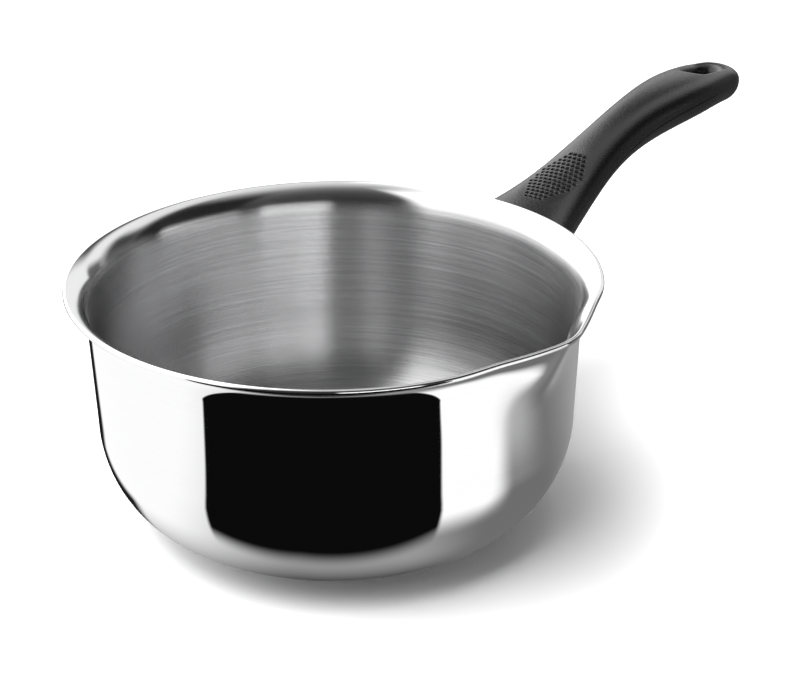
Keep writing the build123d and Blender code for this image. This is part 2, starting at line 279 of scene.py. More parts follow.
def wall_r(z):
    return R_TOP - DRAFT * (Z_TOP - z)


def spout_weights(delta):
    a = abs(delta)
    if a >= SP_HALF:
        return 0.0, 0.0
    win = 1.0 if a < 26 else max(0.0, math.cos(math.radians(90.0 * (a - 26) / (SP_HALF - 26)))) ** 2
    return win / math.cosh(a / SP_W) ** 1.3, win * math.exp(-((a - 19.0) / 7.0) ** 2)


def plain_upper(s):
    l1 = FLARE_Z - SP_Z
    l2 = FLARE_R * math.radians(FLARE_DEG)
    d = s * (l1 + l2)
    if d <= l1:
        z = SP_Z + d
        return wall_r(z) - WALL / 2, z
    psi = (d - l1) / FLARE_R
    r0 = wall_r(FLARE_Z) - WALL / 2
    return r0 + FLARE_R * (1 - math.cos(psi)), FLARE_Z + FLARE_R * math.sin(psi)


def spout_upper(s):
    z_end = FLARE_Z + FLARE_R * math.sin(math.radians(FLARE_DEG)) - 0.1
    z = SP_Z + s * (z_end - SP_Z)
    t = z - SP_RAMP0
    soft = 8.0
    ramp = 0 if t <= 0 else (t * t / (2 * soft) if t < soft else t - soft / 2)
    full = (z_end - SP_RAMP0) - soft / 2
    return wall_r(z) - WALL / 2 + SP_OUT * ramp / full, z


def upper_centre(s, delta):
    b, p = spout_weights(delta)
    b = b ** (1.0 + 0.8 * (1.0 - s)) if b > 0 else 0.0
    r0, z0 = plain_upper(s)
    r1, z1 = spout_upper(s)
    k = max(0.0, (z0 - 57.0) / 27.0)
    k = k * k * (3 - 2 * k) if k < 1 else 1.0
    return r0 + (r1 - r0) * b - PINCH * p * k, z0 + (z1 - z0) * b + 0.3 * p * max(0.0, (z0 - 76.0) / 8.0)


def corner_centre(t):
    """Bottom corner at the sheet's middle, with its outward normal. t runs 0..1 from the flat bottom to the wall."""
    cz = COR_BASE + COR_Z
    rc = wall_r(cz) - COR_R
    phi0 = math.radians(25.0)
    r1 = rc + COR_R * math.sin(phi0)
    z1 = cz - COR_Z * math.cos(phi0)
    sl = math.atan2(COR_Z * math.sin(phi0), COR_R * math.cos(phi0))
    rad = (z1 - Z_FLOOR) / (1 - math.cos(sl))
    r0 = r1 - rad * math.sin(sl)
    if t < 0.3:
        a = sl * t / 0.3
        r, z, nr, nz = r0 + rad * math.sin(a), Z_FLOOR + rad * (1 - math.cos(a)), math.sin(a), -math.cos(a)
    else:
        p = phi0 + (math.pi / 2 - phi0) * (t - 0.3) / 0.7
        tx, tz = COR_R * math.cos(p), COR_Z * math.sin(p)
        q = math.hypot(tx, tz)
        r, z, nr, nz = rc + COR_R * math.sin(p), cz - COR_Z * math.cos(p), tz / q, -tx / q
    return r - nr * WALL / 2, z - nz * WALL / 2, nr, nz


def build_bowl():
    # columns, closer together round the spout
    deltas = []
    a = -180.0
    while a < 180.0 - 1e-6:
        deltas.append(a)
        a += 0.4 if -44.0 <= a < 44.0 - 1e-6 else 0.8
    n_col = len(deltas)
    rows = []                                     # (kind, parameter, side)
    flat = [6, 14, 22, 30, 38, 46, 51]
    cor = [i / 26.0 for i in range(27)]
    wal = [0.25, 0.5, 0.75]
    up = [i / 18.0 * 0.60 for i in range(18)] + [0.60 + 0.40 * i / 30.0 for i in range(31)]
    total = (FLARE_Z - SP_Z) + FLARE_R * math.radians(FLARE_DEG)
    s_join = 1.0 - 0.938 / total
    for side in (1, -1):
        part_rows = [("flat", r) for r in flat] + [("cor", t) for t in cor] + [("wal", t) for t in wal]
        part_rows += [("up", s) for s in up if side < 0 or s < s_join - 0.004] + ([("up", s_join)] if side > 0 else [])
        if side > 0:
            rows += [(k, v, 1) for k, v in part_rows]
            rows += [("hem", 189.2 - i * (189.2 + 90.0) / 20.0, 0) for i in range(1, 20)]
        else:
            rows += [(k, v, -1) for k, v in part_rows[::-1]]
    cz = COR_BASE + COR_Z

    def point(row, delta):
        kind, v, side = row
        if kind == "flat":
            return v, Z_FLOOR + (0 if side > 0 else WALL)
        if kind == "cor":
            r, z, nr, nz = corner_centre(v)
            return r + side * nr * WALL / 2, z + side * nz * WALL / 2
        if kind == "wal":
            z = cz + (SP_Z - cz) * v
            return wall_r(z) - WALL / 2 + side * WALL / 2, z
        s = 1.0 if kind == "hem" else v
        c = upper_centre(s, delta)
        e = 0.004
        p0 = upper_centre(max(0.0, s - e), delta)
        p1 = upper_centre(min(1.0, s + e), delta)
        tr, tz = p1[0] - p0[0], p1[1] - p0[1]
        q = math.hypot(tr, tz)
        tr, tz = tr / q, tz / q
        nr, nz = tz, -tr
        if kind == "up":
            return c[0] + side * nr * WALL / 2, c[1] + side * nz * WALL / 2
        # rolled edge: a small tube tangent to the upper face
        k = BEAD_R - WALL / 2
        hr, hz_ = c[0] + nr * k, c[1] + nz * k
        g = math.radians(v)            # 0 along the sheet outwards, 90 towards the outer face's side
        return hr + BEAD_R * (tr * math.cos(g) + nr * math.sin(g)), hz_ + BEAD_R * (tz * math.cos(g) + nz * math.sin(g))

    verts, faces, fm = [], [], []
    for row in rows:
        for d in deltas:
            r, z = point(row, d)
            th = math.radians(SP_AZ + d)
            verts.append((r * math.cos(th), r * math.sin(th), z))
    for i in range(len(rows) - 1):
        k0, k1 = rows[i], rows[i + 1]
        if k0[2] > 0 and k1[2] > 0:
            mi = 0
        elif k0[2] < 0 and k1[2] < 0:
            mi = 1
        else:
            mi = 2
        for j in range(n_col):
            j2 = (j + 1) % n_col
            faces.append((i * n_col + j, i * n_col + j2, (i + 1) * n_col + j2, (i + 1) * n_col + j))
            fm.append(mi)
    c0 = len(verts)
    verts.append((0, 0, Z_FLOOR))
    verts.append((0, 0, Z_FLOOR + WALL))
    last = (len(rows) - 1) * n_col
    for j in range(n_col):
        j2 = (j + 1) % n_col
        faces.append((c0, j2, j))
        fm.append(0)
        faces.append((c0 + 1, last + j, last + j2))
        fm.append(1)
    o = new_object("bowl_shell", verts, faces, [MIRROR, INSIDE, INSIDE], fm)
    return o


# ---- handle ------------------------------------------------------------------------------
HX = [70, 84, 100, 120, 140, 160, 185, 210, 235, 260, 274.7]
HZ = [60.6, 61.0, 61.9, 64.6, 68.8, 74.2, 79.6, 82.3, 82.7, 80.2, 76.9]
HW = [(70, 29.0), (84, 26.8), (100, 23.4), (120, 18.3), (145, 13.2), (170, 10.7), (200, 11.6), (230, 13.5), (260, 10.3), (276, 8.2)]
HU = [(70, 9.3), (100, 9.2), (130, 8.9), (165, 8.5), (200, 8.7), (240, 7.9), (276, 6.2)]
HL = [(70, 13.4), (95, 11.6), (130, 8.6), (165, 6.5), (200, 8.2), (240, 9.2), (276, 7.9)]
H_TIP, H_TIPLEN, H_INSET, H_GAP, CAV_END = 273.0, 16.0, 2.6, 0.35, 226.0
SLOT_X, SLOT_L, SLOT_W = 246.0, 19.0, 8.0
PAD_X, PAD_L, PAD_W, PAD_D, PIT_D = 138.0, 36.5, 17.8, 0.22, 1.0
SEAM_G, SEAM_R = 0.07, 0.32
POW = 0.9


def natural_spline(xs, ys):
    n = len(xs)
    h = [xs[i + 1] - xs[i] for i in range(n - 1)]
    a = [0.0] * n
    b = [1.0] * n
    c = [0.0] * n
    d = [0.0] * n
    for i in range(1, n - 1):
        a[i] = h[i - 1]
        b[i] = 2 * (h[i - 1] + h[i])
        c[i] = h[i]
        d[i] = 6 * ((ys[i + 1] - ys[i]) / h[i] - (ys[i] - ys[i - 1]) / h[i - 1])
    for i in range(1, n):
        q = a[i] / b[i - 1]
        b[i] -= q * c[i - 1]
        d[i] -= q * d[i - 1]
    m2 = [0.0] * n
    m2[-1] = d[-1] / b[-1]
    for i in range(n - 2, -1, -1):
        m2[i] = (d[i] - c[i] * m2[i + 1]) / b[i]

    def f(x):
        i = 0
        while i < n - 2 and x > xs[i + 1]:
            i += 1
        t = x - xs[i]
        u = xs[i + 1] - x
        hi = h[i]
        return (m2[i] * u ** 3 + m2[i + 1] * t ** 3) / (6 * hi) + (ys[i] / hi - m2[i] * hi / 6) * u + (ys[i + 1] / hi - m2[i + 1] * hi / 6) * t
    return f


hz = natural_spline(HX, HZ)
hw = natural_spline([p[0] for p in HW], [p[1] for p in HW])
hu = natural_spline([p[0] for p in HU], [p[1] for p in HU])
hl = natural_spline([p[0] for p in HL], [p[1] for p in HL])


def slope(x):
    return math.atan2(hz(x + 0.05) - hz(x - 0.05), 0.1)


def tip_factor(x):
    t = (x - (H_TIP - H_TIPLEN)) / H_TIPLEN
    return 1.0 if t <= 0 else math.sqrt(max(0.0, 1 - t * t))


def place(x, y, h):
    sl = slope(x)
    return Vector((x - h * math.sin(sl), y, hz(x) + h * math.cos(sl)))


def section(x, a, side, inset=0.0):
    """(y, h) of the section at angle a, 0 at the +y seam and pi at the -y seam; side is 1 above and -1 below."""
    g = tip_factor(x)
    w = max(0.02, hw(x) * g - inset)
    u = max(0.02, (hu(x) if side > 0 else hl(x)) * g - inset)
    c, s = math.cos(a), max(0.0, math.sin(a))
    return w * math.copysign(abs(c) ** POW, c), side * u * s ** POW


def pad_depth(x, y, slant):
    """Depth of the thumb pad and its dimples below the handle's surface."""
    dx, dy = (x - PAD_X) * slant, y + 0.8
    q = (abs(dx / (PAD_L / 2)) ** 2.3 + abs(dy / (PAD_W / 2)) ** 2.3) ** (1 / 2.3)
    if q > 1.25:
        return 0.0
    t = min(1.0, max(0.0, (1.2 - q) / 0.45))
    depth = PAD_D * t * t * (3 - 2 * t)
    # rows of pits across the handle, every other row shifted by half a step
    step_y, step_x, rp = 2.0, 2.3, 0.74
    r0 = round(dx / step_x)
    for rr in (r0 - 1, r0, r0 + 1):
        off = 0.5 * step_y if rr % 2 else 0.0
        cy = round((dy - off) / step_y) * step_y + off
        cx = rr * step_x
        if (abs(cx / (PAD_L / 2 - 0.4)) ** 2.3 + abs(cy / (PAD_W / 2 - 0.4)) ** 2.3) > 1.0:
            continue
        # round-cornered square pits
        best = ((abs(dx - cx) / 1.04) ** 3 + abs(dy - cy) ** 3) ** (1 / 3)
        if best < rp:
            depth += PIT_D * min(1.0, (1 - best / rp) * 2.2)
        elif best < rp + 0.3:
            depth -= 0.07 * math.sin(math.pi * (best - rp) / 0.3)
    return depth


def stations(x_dense):
    xs = []
    x = 88.0
    while x < 118.5:
        xs.append(x)
        x += 1.6
    if x_dense:
        x = 119.5
        while x < 160.0:
            xs.append(x)
            x += 0.2
    else:
        x = 119.5
        while x < 160.0:
            xs.append(x)
            x += 1.6
    while x < H_TIP - H_TIPLEN - 0.5:
        xs.append(x)
        x += 0.9 if x > 226 else 1.5
    k = 26
    for i in range(k + 1):
        xs.append(H_TIP - H_TIPLEN + H_TIPLEN * math.sin(math.radians(88.5 * i / k)))
    return xs


def stadium_hit(dx, dy, hx, hy):
    """Where a ray from the centre meets a stadium outline of half length hx and half width hy."""
    q = math.hypot(dx, dy)
    dx, dy = dx / q, dy / q
    flat = hx - hy
    if abs(dy) > 1e-9:
        t = hy / abs(dy)
        if abs(dx * t) <= flat:
            return dx * t, dy * t
    b = abs(dx) * flat
    t = b + math.sqrt(max(0.0, b * b - flat * flat + hy * hy))
    return dx * t, dy * t


def build_shell(side, name):
    """One half of the handle: outside, cavity, parting face, root face, slot and screw holes as one closed mesh."""
    n_seam = 4
    dense_cols = side > 0
    xs = stations(dense_cols)
    # section angles
    angs = []
    if dense_cols:
        # closer together over the thumb pad
        for i in range(15):
            angs.append(math.radians(2.0 + (50.0 - 2.0) * i / 15.0))
        for i in range(97):
            angs.append(math.radians(50.0 + 80.0 * i / 96.0))
        for i in range(1, 16):
            angs.append(math.radians(130.0 + (178.0 - 130.0) * i / 15.0))
    else:
        for i in range(61):
            angs.append(math.radians(2.0 + 176.0 * i / 60.0))
    n_ang = len(angs)

    def root_x(a, inset):
        """Where the section line at angle a meets the bowl's wall, kept clear by the gap."""
        lo, hi = 60.0, 100.0
        for _ in range(40):
            mid = (lo + hi) / 2
            y, h = section(mid, a, side, inset)
            p = place(mid, y, h)
            if math.hypot(p.x, p.y) > wall_r(p.z) + H_GAP:
                hi = mid
            else:
                lo = mid
        return (lo + hi) / 2

    bm = bmesh.new()

    def line_x(a, inset):
        r = root_x(a, inset)
        out = [r, r + 0.25]
        n0 = 12
        x_fix = xs[0]
        for i in range(1, n0):
            out.append(r + 0.25 + (x_fix - r - 0.25) * i / n0)
        return out + xs

    def ring_point(x, a, inset):
        y, h = section(x, a, side, inset)
        return y, h

    # outside
    outer = []                # outer[j][i]
    cols = []
    for q in range(n_seam):   # seam edge on the +y side
        cols.append(("s", q, 1))
    for a in angs:
        cols.append(("a", a, 0))
    for q in range(n_seam - 1, -1, -1):
        cols.append(("s", q, -1))
    n_c = len(cols)
    a_first, a_last = angs[0], angs[-1]
    lines = {}
    for ci, (kind, v, sy) in enumerate(cols):
        a_line = v if kind == "a" else (a_first if sy > 0 else a_last)
        key = round(a_line, 6)
        if key not in lines:
            lines[key] = line_x(a_line, 0.0)
        pts = []
        for i, x in enumerate(lines[key]):
            root_in = 0.30 if i == 0 else 0.0      # the root edge is slightly rounded
            g = tip_factor(x)
            if kind == "a":
                y, h = section(x, v, side, root_in)
                if side > 0 and 119.0 < x < 160.5 and abs(y) < 10:
                    p = place(x, y, h)
                    dx = 0.05
                    y2, h2 = section(x + dx, v, side)
                    y3, h3 = section(x, v + 0.002, side)
                    tx = place(x + dx, y2, h2) - p
                    ta = place(x, y3, h3) - p
                    nn = tx.cross(ta)
                    nn.normalize()
                    if nn.z < 0:
                        nn = -nn
                    d = pad_depth(x, y, 1.0 / math.cos(slope(x)))
                    pts.append(p - nn * d)
                    continue
            else:
                rf = SEAM_R * min(1.0, g * 1.6)
                ya, ha = section(x, a_line, side, root_in)
                b = math.radians(90.0 * v / n_seam)
                w_edge = abs(ya)
                h_top = abs(ha)
                gg = SEAM_G * min(1.0, g * 1.6)
                y = sy * (w_edge - rf * (1 - math.sin(b)))
                h = side * (gg + (h_top - gg) * (1 - math.cos(b)))
            pts.append(place(x, y, h))
        outer.append([bm.verts.new(p * MM) for p in pts])
    n_x = len(outer[0])

    # cavity
    i_cav = max(i for i in range(n_x) if lines[round(angs[n_ang // 2], 6)][i] <= CAV_END)
    inner = []
    step = 4 if dense_cols else 3
    in_idx = [0] + [n_seam + k for k in range(0, n_ang, step)]
    if in_idx[-1] != n_seam + n_ang - 1:
        in_idx.append(n_seam + n_ang - 1)
    in_idx.append(n_c - 1)
    st_idx = list(range(0, 14)) + [i for i in range(14, i_cav, 8 if dense_cols else 2)] + [i_cav]
    st_idx = sorted(set(st_idx))
    for ci in in_idx:
        kind, v, sy = cols[ci]
        a_line = v if kind == "a" else (a_first if sy > 0 else a_last)
        ls = line_x(a_line, H_INSET)
        pts = []
        for i in st_idx:
            x = ls[i]
            y, h = section(x, a_line, side, H_INSET)
            if kind == "s":
                h = side * SEAM_G
            pts.append(place(x, y, h))
        inner.append([bm.verts.new(p * MM) for p in pts])

    holes = []                                 # (i0, i1, c0, c1, list of rings going inwards)

    def grid_hole(xc, half_l, ylim, rings_fn):
        key = lines[round(angs[n_ang // 2], 6)]
        i0 = max(i for i in range(n_x) if key[i] < xc - half_l)
        i1 = min(i for i in range(n_x) if key[i] > xc + half_l)
        def col_y(c):
            return section(xc, cols[c][1], side)[0]
        acols = [c for c in range(n_c) if cols[c][0] == "a"]
        c0 = max(c for c in acols if col_y(c) > ylim)
        c1 = min(c for c in acols if col_y(c) < -ylim)
        loop = []
        for i in range(i0, i1):
            loop.append((i, c0))
        for c in range(c0, c1):
            loop.append((i1, c))
        for i in range(i1, i0, -1):
            loop.append((i, c1))
        for c in range(c1, c0, -1):
            loop.append((i0, c))
        # flat coordinates of the loop
        flat = []
        for i, c in loop:
            x = key[i]
            y, h = section(x, cols[c][1], side)
            flat.append((x - xc, y))
        rings = rings_fn(flat)
        holes.append((i0, i1, c0, c1))
        prev = [outer[c][i] for i, c in loop]
        for ring in rings:
            cur = [bm.verts.new(place(x, y, h) * MM) for x, y, h in ring]
            m_ = len(cur)
            for q in range(m_):
                q2 = (q + 1) % m_
                vs = (prev[q], prev[q2], cur[q2], cur[q])
                bm.faces.new(vs if side > 0 else vs[::-1])
            prev = cur
        return prev

    def surf_h(x, y):
        g = tip_factor(x)
        w = hw(x) * g
        u = (hu(x) if side > 0 else hl(x)) * g
        k = min(1.0, abs(y) / w)
        return u * max(0.0, 1 - k ** (2 / POW)) ** (POW / 2)

    def slot_rings(flat):
        rings = []
        hx0, hy0 = 14.0, 7.6
        hx1, hy1 = SLOT_L / 2, SLOT_W / 2
        for t in (0.35, 0.7, 0.9):
            ring = []
            for fx, fy in flat:
                sx, sy = stadium_hit(fx * hx0 / 15.0, fy * hy0 / 9.0, hx0, hy0)
                x, y = fx + (sx - fx) * t, fy + (sy - fy) * t
                ring.append((SLOT_X + x, y, side * surf_h(SLOT_X + x, y)))
            rings.append(ring)
        deep = 4.2 if side > 0 else 2.6
        n = 10
        for k in range(n + 1):
            b = math.pi / 2 * k / n
            t = math.sin(b)
            d = deep * (1 - math.cos(b))
            hx, hy = hx0 + (hx1 - hx0) * t, hy0 + (hy1 - hy0) * t
            ring = []
            for fx, fy in flat:
                s0 = stadium_hit(fx * hx0 / 15.0, fy * hy0 / 9.0, hx0, hy0)
                sx, sy = stadium_hit(s0[0], s0[1], hx, hy)
                ring.append((SLOT_X + sx, sy, side * max(SEAM_G + 0.5, surf_h(SLOT_X + s0[0], s0[1]) - d)))
            rings.append(ring)
        lasth = [p[2] for p in rings[-1]]
        for f in (0.5, 0.12):
            rings.append([(p[0], p[1], side * (SEAM_G + (abs(hh) - SEAM_G) * f)) for p, hh in zip(rings[n + 3], lasth)])
        rings.append([(p[0], p[1], side * SEAM_G) for p in rings[n + 3]])
        return rings

    slot_loop = grid_hole(SLOT_X, 15.0, 8.6, slot_rings)

    bore_loops = []
    if side < 0:
        for xc, r, seat in ((98.0, 5.0, 5.6), (132.0, 5.0, 4.0), (178.0, 3.1, 3.0), (216.0, 3.1, 3.0)):
            def rings_fn(flat, xc=xc, r=r, seat=seat):
                rings = []
                def circ(k, h=None, edge=0.0):
                    ring = []
                    for fx, fy in flat:
                        q = math.hypot(fx, fy)
                        x, y = fx / q * k, fy / q * k
                        hh = surf_h(xc + x, y) - edge if h is None else h
                        ring.append((xc + x, y, -hh))
                    return ring
                ring = []
                for fx, fy in flat:
                    q = math.hypot(fx, fy)
                    x, y = (fx + fx / q * (r + 0.35)) / 2, (fy + fy / q * (r + 0.35)) / 2
                    ring.append((xc + x, y, -surf_h(xc + x, y)))
                rings.append(ring)
                rings.append(circ(r + 0.35))
                rings.append(circ(r + 0.1, None, 0.08))
                rings.append(circ(r, None, 0.35))
                rings.append(circ(r, seat + 0.25))
                rings.append(circ(r - 0.2, seat))
                return rings
            bore_loops.append((grid_hole(xc, r + 2.2, r + 2.0, rings_fn), xc, seat, r))

    def in_hole(i, c):
        return any(i0 <= i < i1 and c0 <= c < c1 for i0, i1, c0, c1 in holes)

    # outside faces
    for c in range(n_c - 1):
        for i in range(n_x - 1):
            if in_hole(i, c):
                continue
            vs = (outer[c][i], outer[c][i + 1], outer[c + 1][i + 1], outer[c + 1][i])
            bm.faces.new(vs if side > 0 else vs[::-1])
    # end point
    tip = bm.verts.new(place(H_TIP, 0, side * SEAM_G * 0.5) * MM)
    for c in range(n_c - 1):
        vs = (outer[c][-1], tip, outer[c + 1][-1])
        bm.faces.new(vs if side > 0 else vs[::-1])
    # cavity faces
    for c in range(len(inner) - 1):
        for i in range(len(st_idx) - 1):
            vs = (inner[c][i], inner[c + 1][i], inner[c + 1][i + 1], inner[c][i + 1])
            bm.faces.new(vs if side > 0 else vs[::-1])
    # cavity's end
    end = [inner[c][-1] for c in range(len(inner))]
    bm.faces.new(end if side < 0 else end[::-1])
    # root face and parting face are filled from their edge loops
    def edge(a, b):
        e = bm.edges.get((a, b))
        return e if e is not None else bm.edges.new((a, b))

    root_edges = []
    for c in range(n_c - 1):
        root_edges.append(edge(outer[c][0], outer[c + 1][0]))
    for c in range(len(inner) - 1):
        root_edges.append(edge(inner[c][0], inner[c + 1][0]))
    root_edges.append(edge(outer[0][0], inner[0][0]))
    root_edges.append(edge(outer[-1][0], inner[-1][0]))
    bmesh.ops.triangle_fill(bm, edges=root_edges, use_beauty=True, normal=(1, 0, 0))
    seam_edges = []
    for c, ic in ((0, 0), (n_c - 1, len(inner) - 1)):
        for i in range(n_x - 1):
            seam_edges.append(edge(outer[c][i], outer[c][i + 1]))
        seam_edges.append(edge(outer[c][-1], tip))
        for i in range(len(st_idx) - 1):
            seam_edges.append(edge(inner[ic][i], inner[ic][i + 1]))
        seam_edges.append(edge(outer[c][0], inner[ic][0]))
    seam_edges.append(edge(inner[0][-1], inner[-1][-1]))
    for q in range(len(slot_loop)):
        seam_edges.append(edge(slot_loop[q], slot_loop[(q + 1) % len(slot_loop)]))
    bmesh.ops.triangle_fill(bm, edges=seam_edges, use_beauty=True, normal=(0, 0, 1))
    # bottoms of the screw holes
    for loop, xc, seat, r in bore_loops:
        bm.faces.new(loop if side > 0 else loop[::-1])
    bmesh.ops.recalc_face_normals(bm, faces=bm.faces)
    me = bpy.data.meshes.new(name)
    bm.to_mesh(me)
    open_edges = sum(1 for e in bm.edges if len(e.link_faces) != 2)
    bm.free()
    print(name, "verts", len(me.vertices), "open edges", open_edges)
    me.materials.append(PLASTIC)
    me.polygons.foreach_set("use_smooth", [True] * len(me.polygons))
    me.update()
    me.set_sharp_from_angle(angle=math.radians(48))
    o = bpy.data.objects.new(name, me)
    bpy.context.scene.collection.objects.link(o)
    return o


bowl = build_bowl()
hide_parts("pan_body")
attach(bowl, "root")
for side, nm, node in ((1, "handle_upper", "handle_upper_shell"), (-1, "handle_lower", "handle_lower_shell")):
    o = build_shell(side, nm)
    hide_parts(node)
    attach(o, "root")


def paint(name, mat):
    o = nodes[name]
    o.data.materials.clear()
    o.data.materials.append(mat)
    o.data.polygons.foreach_set("material_index", [0] * len(o.data.polygons))


paint("base_capsule", BASE)
paint("heat_disc", DISC)
paint("handle_bracket", BRACKET)
paint("handle_bolts", FASTENER)
paint("spring_washers", FASTENER)
paint("threaded_inserts", BRASS)
paint("shell_screws", FASTENER)

# ---- floor -----------------------------------------------------------------------------
fm_ = bpy.data.meshes.new("floor")
S = 6.0
fm_.from_pydata([(-S, -S, 0), (S, -S, 0), (S, S, 0), (-S, S, 0)], [], [(0, 1, 2, 3)])
floor = bpy.data.objects.new("floor", fm_)
bpy.context.scene.collection.objects.link(floor)
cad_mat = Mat("floor_white")
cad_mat.set(Roughness=0.9, Specular_IOR_Level=0.0)
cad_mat.p.inputs["Base Color"].default_value = (0.93, 0.93, 0.93, 1)
fm_.materials.append(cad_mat.m)
floor.visible_glossy = False

# ---- painted reflection: what the polished steel sees of the table ---------------------------
# The white floor takes the shadow; this second sheet glows and is seen in reflections only, a painted reflection with
# the pan's shadow round its foot painted in. On it lie a black card in front of the pan, white paper at the left, a
# strip of light and grey at the right.
rm = bpy.data.meshes.new("painted_table_reflection")
rm.from_pydata([(-S, -S, -0.0002), (S, -S, -0.0002), (S, S, -0.0002), (-S, S, -0.0002)], [], [(0, 1, 2, 3)])
table_o = bpy.data.objects.new("painted_table_reflection", rm)
bpy.context.scene.collection.objects.link(table_o)
for flag_name in ("visible_camera", "visible_diffuse", "visible_transmission", "visible_volume_scatter", "visible_shadow"):
    setattr(table_o, flag_name, False)


class Table(Mat):
    def __init__(self, name):
        super().__init__(name)
        self.t.nodes.remove(self.p)
        self.p = self.t.nodes.new("ShaderNodeEmission")
        out = next(n for n in self.t.nodes if n.type == "OUTPUT_MATERIAL")
        self.t.links.new(self.p.outputs[0], out.inputs[0])

    def step(self, v, a, b):
        return self.remap(v, a, b, 0.0, 1.0)

    def mul(self, *vs):
        out = vs[0]
        for v in vs[1:]:
            out = self.math("MULTIPLY", out, v)
        return out

    def inv(self, v):
        return self.math("SUBTRACT", 1.0, v)

    def over(self, under, value, mask):
        """value laid over under by mask."""
        n = self.node("ShaderNodeMix", data_type="FLOAT")
        for sock, v in ((n.inputs[0], mask), (n.inputs[2], under), (n.inputs[3], value)):
            if isinstance(v, (int, float)):
                sock.default_value = v
            else:
                self.link(v, sock)
        return n.outputs[0]

    def plane(self, u, v, u0, v0, nu, nv):
        """Signed distance in mm of (u, v) from the line through (u0, v0) with normal (nu, nv)."""
        a = self.math("MULTIPLY", self.math("SUBTRACT", u, u0), nu)
        return self.math("MULTIPLY_ADD", self.math("SUBTRACT", v, v0), nv, a)


# emission colour of the sheet: a painted reflection, with painted shadow round the pan's foot
k = Table("painted_table_reflection")
sep = k.node("ShaderNodeSeparateXYZ")
k.link(k.coords(), sep.inputs[0])
# u runs to the right and v towards the front, in mm
u = k.math("MULTIPLY_ADD", sep.outputs[0], 574.9, k.math("MULTIPLY", sep.outputs[1], -818.2))
v = k.math("MULTIPLY_ADD", sep.outputs[0], -818.2, k.math("MULTIPLY", sep.outputs[1], -574.9))
rad = k.math("SQRT", k.math("ADD", k.math("MULTIPLY", u, u), k.math("MULTIPLY", v, v)))
ang = k.math("MULTIPLY", k.math("ARCTAN2", v, u), 180 / math.pi)      # 0 right, 90 front, 180 left
# painted shadow of the pan, darker towards the foot in front; grey at the right, lighter behind
front = k.remap(rad, 54.0, 78.0, 0.08, 0.34)
side = k.over(0.165, 0.36, k.inv(k.step(ang, -42.0, 8.0)))
side = k.over(side, 0.46, k.mul(k.step(rad, 110.0, 168.0), k.step(ang, -4.0, 18.0)))
val = k.over(front, side, k.inv(k.step(ang, 38.0, 68.0)))
# white paper at the left, with painted shadow of the pan darkening it towards the foot
white = k.remap(rad, 52.0, 92.0, 0.40, 1.05)
left = k.math("MAXIMUM", k.step(ang, 98.0, 152.0), k.inv(k.step(ang, -130.0, -100.0)))
val = k.over(val, white, left)
# strip of light at the right of the card
strip = k.over(1.08, 0.60, k.inv(k.step(ang, 15.0, 29.0)))
val = k.over(val, strip, k.mul(k.step(v, 45.0, 71.0), k.step(rad, 86.0, 120.0), k.step(u, 20.0, 40.0)))
# dark flag behind, at the left
flag = k.mul(k.step(k.plane(u, v, -92.0, 0.0, 0.906, -0.423), -5.0, 5.0), k.inv(k.step(u, -64.0, -54.0)),
             k.inv(k.step(v, 12.0, 26.0)))
val = k.over(val, 0.012, flag)
# black card in front, its near edge out of focus
near = k.math("MULTIPLY_ADD", k.math("MAXIMUM", k.math("SUBTRACT", -14.0, u), 0.0), 0.2, v)
card = k.mul(k.step(k.plane(u, v, -60.0, 72.0, 0.528, 0.849), -1.6, 1.6),
             k.step(k.plane(u, v, 56.0, 84.0, -0.657, 0.754), -1.8, 1.8),
             k.step(near, 70.5, 86.5))
val = k.over(val, 0.0035, card)
val = k.over(val, 0.12, k.inv(k.step(v, -260.0, -150.0)))
comb = k.node("ShaderNodeCombineColor")
for s_ in (0, 1, 2):
    k.link(val, comb.inputs[s_])
k.link(comb.outputs[0], k.p.inputs["Color"])
k.p.inputs["Strength"].default_value = 1.0
rm.materials.append(k.m)

# ---- surroundings and lights --------------------------------------------------------------
world = bpy.data.worlds.new("studio")
bpy.context.scene.world = world
world.use_nodes = True


class Sky(Mat):
    """What reflections see round the pan, by direction: light walls behind, dark panels in front and at the right."""

    def __init__(self, w):
        self.t = w.node_tree
        self.p = next(n for n in self.t.nodes if n.type == "BACKGROUND")
        self.x = -300

    def step(self, v, a, b):
        return self.remap(v, a, b, 0.0, 1.0)

    def mul(self, *vs):
        out = vs[0]
        for v in vs[1:]:
            out = self.math("MULTIPLY", out, v)
        return out

    def inv(self, v):
        return self.math("SUBTRACT", 1.0, v)

    def over(self, under, value, mask):
        """value laid over under by mask."""
        n = self.node("ShaderNodeMix", data_type="FLOAT")
        for sock, v in ((n.inputs[0], mask), (n.inputs[2], under), (n.inputs[3], value)):
            if isinstance(v, (int, float)):
                sock.default_value = v
            else:
                self.link(v, sock)
        return n.outputs[0]


k = Sky(world)
tc = k.node("ShaderNodeTexCoord")
sep = k.node("ShaderNodeSeparateXYZ")
k.link(tc.outputs["Generated"], sep.inputs[0])
az = k.math("MULTIPLY", k.math("ARCTAN2", sep.outputs[1], sep.outputs[0]), 180 / math.pi)
az = k.math("MODULO", k.math("ADD", az, 360.0), 360.0)
el = k.math("MULTIPLY", k.math("ARCSINE", k.math("MAXIMUM", k.math("MINIMUM", sep.outputs[2], 1.0), -1.0)), 180 / math.pi)

# overhead a broad soft light that fades towards the front, where the room is dark
fwd = k.math("MULTIPLY_ADD", sep.outputs[0], -0.8161, k.math("MULTIPLY", sep.outputs[1], -0.5780))
sky = k.ramp(k.math("MULTIPLY_ADD", fwd, 0.5, 0.5), [
    (0.0, 0.90), (0.22, 0.90), (0.38, 0.78), (0.45, 0.64), (0.50, 0.48), (0.545, 0.32), (0.59, 0.20), (0.67, 0.11), (0.75, 0.065), (0.90, 0.035)])
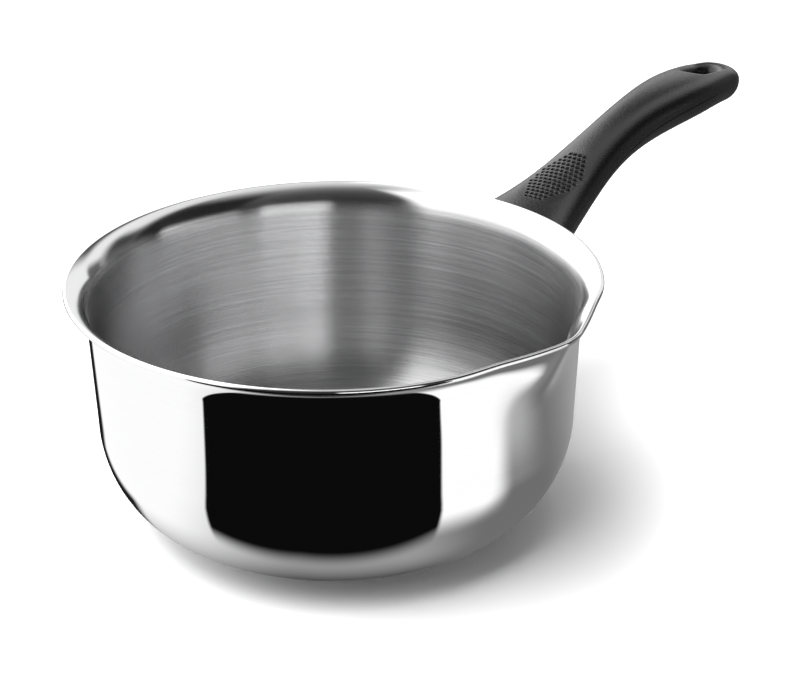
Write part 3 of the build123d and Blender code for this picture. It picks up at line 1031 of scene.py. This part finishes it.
# behind, one dark panel above the horizon, and left of it a bright wall
sky = k.over(sky, 0.08, k.mul(k.step(az, 2.0, 12.0), k.inv(k.step(az, 38.0, 44.0)), k.step(el, 20.0, 32.0), k.inv(k.step(el, 44.0, 58.0))))
wall = k.over(1.35, 1.95, k.inv(k.step(az, 78.0, 128.0)))
wall = k.over(wall, 2.9, k.mul(k.inv(k.step(az, 64.0, 82.0)), k.step(el, 28.0, 38.0), k.inv(k.step(el, 58.0, 72.0))))
sky = k.over(sky, wall, k.mul(k.step(az, 41.0, 50.0), k.inv(k.step(az, 168.0, 181.0)), k.inv(k.step(el, 60.0, 82.0))))
# a dark corner at the right, and low grey panels in front of the pan with gaps between them
sky = k.over(sky, 0.015, k.mul(k.step(az, 258.0, 270.0), k.inv(k.step(az, 322.0, 338.0)), k.inv(k.step(el, 54.0, 80.0))))
sky = k.over(sky, 0.05, k.mul(k.step(az, 318.0, 330.0), k.inv(k.step(az, 341.0, 354.0)), k.inv(k.step(el, 30.0, 44.0))))
low = k.inv(k.step(el, 4.0, 27.0))
sky = k.over(sky, 2.3, k.mul(low, k.step(az, 216.0, 220.0), k.inv(k.step(az, 249.0, 253.0))))
panel = k.over(0.95, 1.55, k.step(az, 266.0, 303.0))
sky = k.over(sky, panel, k.mul(low, k.step(az, 260.0, 264.0), k.inv(k.step(az, 303.0, 307.0))))
sky = k.over(sky, 0.16, k.mul(low, k.step(az, 307.0, 318.0), k.inv(k.step(az, 335.0, 352.0))))
# and one more dark panel near the horizon at the back right
side = k.math("MAXIMUM", k.inv(k.step(az, 0.0, 4.0)), k.step(az, 344.0, 352.0))
sky = k.over(sky, 0.12, k.mul(side, k.inv(k.step(el, 10.0, 22.0))))
lp = k.node("ShaderNodeLightPath")
sky = k.over(sky, 1.0, lp.outputs["Is Camera Ray"])
comb = k.node("ShaderNodeCombineColor")
for s_ in (0, 1, 2):
    k.link(sky, comb.inputs[s_])
k.link(comb.outputs[0], k.p.inputs["Color"])
k.p.inputs["Strength"].default_value = 1.0


def area(name, pos, target, size, power, size_y=None):
    d = bpy.data.lights.new(name, "AREA")
    d.energy = power
    d.shape = "RECTANGLE"
    d.size = size
    d.size_y = size_y or size
    o = bpy.data.objects.new(name, d)
    bpy.context.scene.collection.objects.link(o)
    o.location = pos
    o.rotation_mode = "QUATERNION"
    o.rotation_quaternion = (Vector(target) - Vector(pos)).to_track_quat("-Z", "Y")
    return o


R2 = Vector((C_RIGHT.x, C_RIGHT.y, 0)).normalized()      # to the right in the picture
F2 = Vector((-C_BACK.x, -C_BACK.y, 0)).normalized()      # away from the camera
for nm, pos, size, power in (
    ("key_left", R2 * -1.1 + F2 * -0.55 + Vector((0, 0, 1.5)), 2.2, 25.0),
    ("key_top", R2 * -0.5 + F2 * -0.38 + Vector((0, 0, 2.2)), 1.9, 62.0),
):
    lamp = area(nm, pos, (0, 0, 0.03), size, power)
    lamp.visible_glossy = False

bpy.context.scene.view_settings.view_transform = "Standard"
bpy.context.scene.view_settings.look = "None"
bpy.context.scene.view_settings.exposure = 0.0
bpy.context.scene.view_settings.gamma = 1.0
